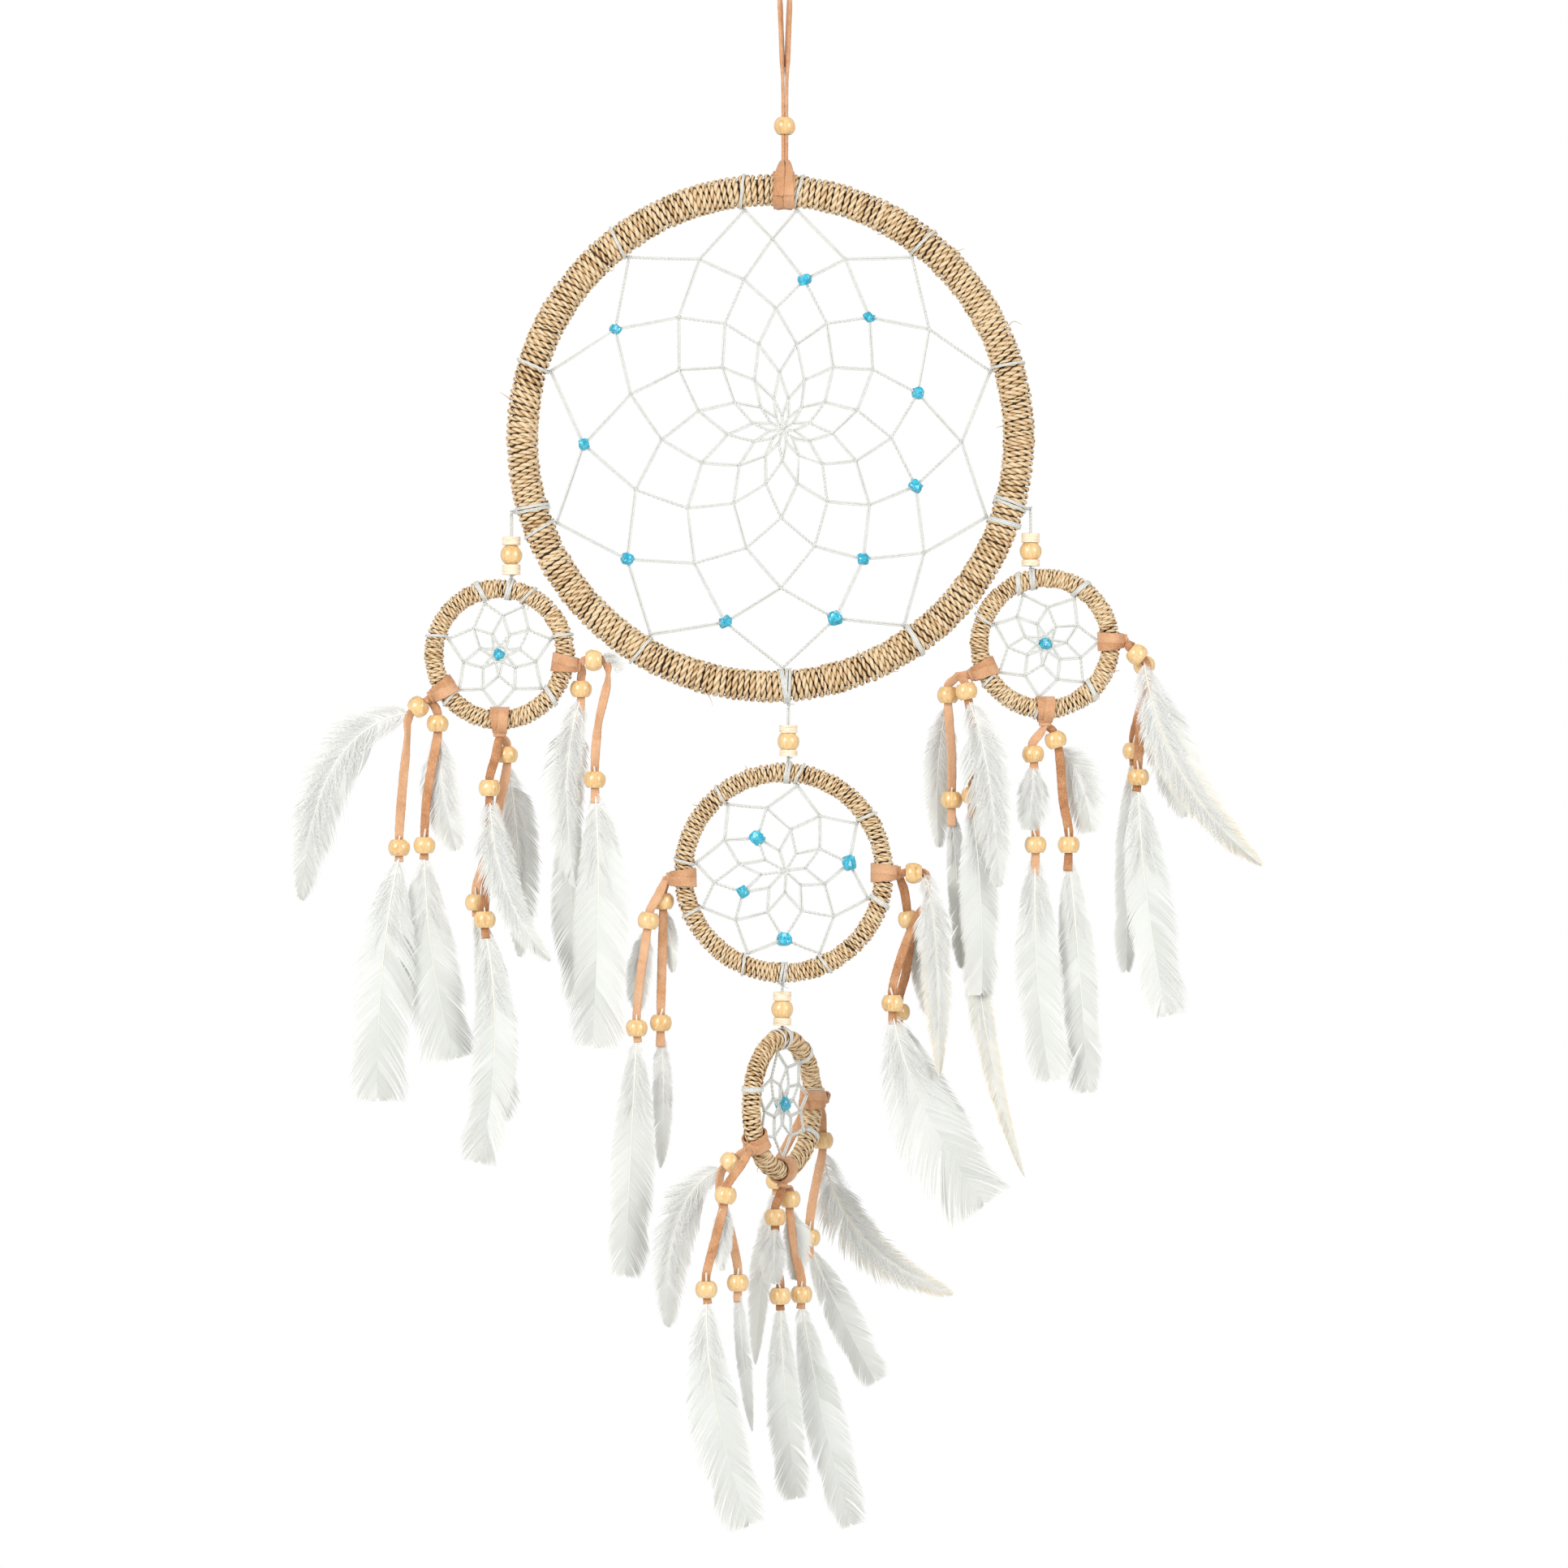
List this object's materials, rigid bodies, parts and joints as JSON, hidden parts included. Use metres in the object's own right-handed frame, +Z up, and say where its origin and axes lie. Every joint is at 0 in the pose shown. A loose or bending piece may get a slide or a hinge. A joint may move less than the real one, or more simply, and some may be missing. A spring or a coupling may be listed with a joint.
{
  "type": "dream catcher",
  "caption": "Wall-hung dream catcher: a wound hoop with a net of thread and stone chips, smaller hoops on beaded threads below, and suede tails with beads and white feathers",
  "frame": {"origin": "where the nail or hook touches the inside of the suede hanging loop, at its top", "axes": "+Z up against gravity, +X to the right as seen from the front, -Y toward the viewer, so +Y points into the wall"},
  "size_m": [0.4023, 0.0791, 0.6527],
  "materials": {
    "cane": "matte",
    "seagrass": "matte",
    "thread": "matte",
    "turquoise": "gloss",
    "bead_wood": "satin",
    "disc_wood": "matte",
    "suede": "matte",
    "feather": "matte"
  },
  "bodies": {
    "hanger": {"hanger_lace": "suede"},
    "hanger_bead": {"hanger_bead": "bead_wood"},
    "main_hoop": {"main_ring": "cane", "main_wrap": "seagrass", "main_web": "thread", "main_stones": "turquoise"},
    "left_link": {"left_link_beads": "bead_wood"},
    "left_hoop": {"left_ring": "cane", "left_wrap": "seagrass", "left_web": "thread", "left_stone": "turquoise", "left_outer_lace": "suede", "left_bottom_lace": "suede", "left_inner_lace": "suede"},
    "right_link": {"right_link_beads": "bead_wood"},
    "right_hoop": {"right_ring": "cane", "right_wrap": "seagrass", "right_web": "thread", "right_stone": "turquoise", "right_inner_lace": "suede", "right_bottom_lace": "suede", "right_outer_lace": "suede"},
    "middle_link": {"middle_link_beads": "bead_wood"},
    "middle_hoop": {"middle_ring": "cane", "middle_wrap": "seagrass", "middle_web": "thread", "middle_stones": "turquoise", "middle_left_lace": "suede", "middle_right_lace": "suede"},
    "lower_link": {"lower_link_beads": "bead_wood"},
    "lower_hoop": {"lower_ring": "cane", "lower_wrap": "seagrass", "lower_web": "thread", "lower_stone": "turquoise", "lower_left_lace": "suede", "lower_bottom_lace": "suede", "lower_right_lace": "suede"},
    "left_outer": {"left_outer_beads": "bead_wood", "left_outer_feathers": "feather"},
    "left_bottom": {"left_bottom_beads": "bead_wood", "left_bottom_feathers": "feather"},
    "left_inner": {"left_inner_beads": "bead_wood", "left_inner_feathers": "feather"},
    "middle_left": {"middle_left_beads": "bead_wood", "middle_left_feathers": "feather"},
    "middle_right": {"middle_right_beads": "bead_wood", "middle_right_feathers": "feather"},
    "right_inner": {"right_inner_beads": "bead_wood", "right_inner_feathers": "feather"},
    "right_bottom": {"right_bottom_beads": "bead_wood", "right_bottom_feathers": "feather"},
    "right_outer": {"right_outer_beads": "bead_wood", "right_outer_feathers": "feather"},
    "lower_left": {"lower_left_beads": "bead_wood", "lower_left_feathers": "feather"},
    "lower_bottom": {"lower_bottom_beads": "bead_wood", "lower_bottom_feathers": "feather"},
    "lower_right": {"lower_right_beads": "bead_wood", "lower_right_feathers": "feather"}
  },
  "joints": [
    {"name": "hanger_bead_slide", "type": "slide", "parent": "hanger", "child": "hanger_bead", "axis": [0, 0, 1], "range_m": [-0.01, 0.015]},
    {"name": "main_hoop_swing", "type": "hinge", "parent": "hanger", "child": "main_hoop", "pos_m": [0, 0, -0.09167], "axis": [1, 0, 0], "range_deg": [-20, 20]},
    {"name": "left_link_swing", "type": "hinge", "parent": "main_hoop", "child": "left_link", "pos_m": [-0.11455, 0, -0.22724], "axis": [1, 0, 0], "range_deg": [-25, 25]},
    {"name": "left_hoop_twist", "type": "hinge", "parent": "left_link", "child": "left_hoop", "pos_m": [-0.11455, 0, -0.24724], "axis": [0, 0, 1], "range_deg": [-40, 40]},
    {"name": "right_link_swing", "type": "hinge", "parent": "main_hoop", "child": "right_link", "pos_m": [0.10299, 0, -0.22573], "axis": [1, 0, 0], "range_deg": [-25, 25]},
    {"name": "right_hoop_twist", "type": "hinge", "parent": "right_link", "child": "right_hoop", "pos_m": [0.10299, 0, -0.24572], "axis": [0, 0, 1], "range_deg": [-40, 40]},
    {"name": "middle_link_swing", "type": "hinge", "parent": "main_hoop", "child": "middle_link", "pos_m": [0.0015, 0, -0.30835], "axis": [1, 0, 0], "range_deg": [-25, 25]},
    {"name": "middle_hoop_twist", "type": "hinge", "parent": "middle_link", "child": "middle_hoop", "pos_m": [0.0015, 0, -0.32835], "axis": [0, 0, 1], "range_deg": [-40, 40]},
    {"name": "lower_link_swing", "type": "hinge", "parent": "middle_hoop", "child": "lower_link", "pos_m": [-0.00109, 0, -0.42595], "axis": [1, 0, 0], "range_deg": [-20, 20]},
    {"name": "lower_hoop_twist", "type": "hinge", "parent": "lower_link", "child": "lower_hoop", "pos_m": [-0.00109, 0, -0.44595], "axis": [0, 0, 1], "range_deg": [-25, 25]},
    {"name": "left_outer_swing", "type": "hinge", "parent": "left_hoop", "child": "left_outer", "pos_m": [-0.1495, 0, -0.305], "axis": [1, 0, 0], "range_deg": [-15, 15], "deforming": ["left_outer_lace"]},
    {"name": "left_bottom_swing", "type": "hinge", "parent": "left_hoop", "child": "left_bottom", "pos_m": [-0.1195, 0, -0.32], "axis": [1, 0, 0], "range_deg": [-15, 15], "deforming": ["left_bottom_lace"]},
    {"name": "left_inner_swing", "type": "hinge", "parent": "left_hoop", "child": "left_inner", "pos_m": [-0.0855, 0, -0.2905], "axis": [1, 0, 0], "range_deg": [-15, 15], "deforming": ["left_inner_lace"]},
    {"name": "middle_left_swing", "type": "hinge", "parent": "middle_hoop", "child": "middle_left", "pos_m": [-0.05, 0, -0.3805], "axis": [1, 0, 0], "range_deg": [-15, 15], "deforming": ["middle_left_lace"]},
    {"name": "middle_right_swing", "type": "hinge", "parent": "middle_hoop", "child": "middle_right", "pos_m": [0.048, 0, -0.379], "axis": [1, 0, 0], "range_deg": [-15, 15], "deforming": ["middle_right_lace"]},
    {"name": "right_inner_swing", "type": "hinge", "parent": "right_hoop", "child": "right_inner", "pos_m": [0.0725, 0, -0.295], "axis": [1, 0, 0], "range_deg": [-15, 15], "deforming": ["right_inner_lace"]},
    {"name": "right_bottom_swing", "type": "hinge", "parent": "right_hoop", "child": "right_bottom", "pos_m": [0.109, 0, -0.3158], "axis": [1, 0, 0], "range_deg": [-15, 15], "deforming": ["right_bottom_lace"]},
    {"name": "right_outer_swing", "type": "hinge", "parent": "right_hoop", "child": "right_outer", "pos_m": [0.1428, 0, -0.2805], "axis": [1, 0, 0], "range_deg": [-15, 15], "deforming": ["right_outer_lace"]},
    {"name": "lower_left_swing", "type": "hinge", "parent": "lower_hoop", "child": "lower_left", "pos_m": [-0.0145, -0.0265, -0.4925], "axis": [1, 0, 0], "range_deg": [-10, 10], "deforming": ["lower_left_lace"]},
    {"name": "lower_bottom_swing", "type": "hinge", "parent": "lower_hoop", "child": "lower_bottom", "pos_m": [-0.001, 0, -0.5085], "axis": [1, 0, 0], "range_deg": [-10, 10], "deforming": ["lower_bottom_lace"]},
    {"name": "lower_right_swing", "type": "hinge", "parent": "lower_hoop", "child": "lower_right", "pos_m": [0.0145, 0.031, -0.4755], "axis": [1, 0, 0], "range_deg": [-10, 10], "deforming": ["lower_right_lace"]}
  ]
}
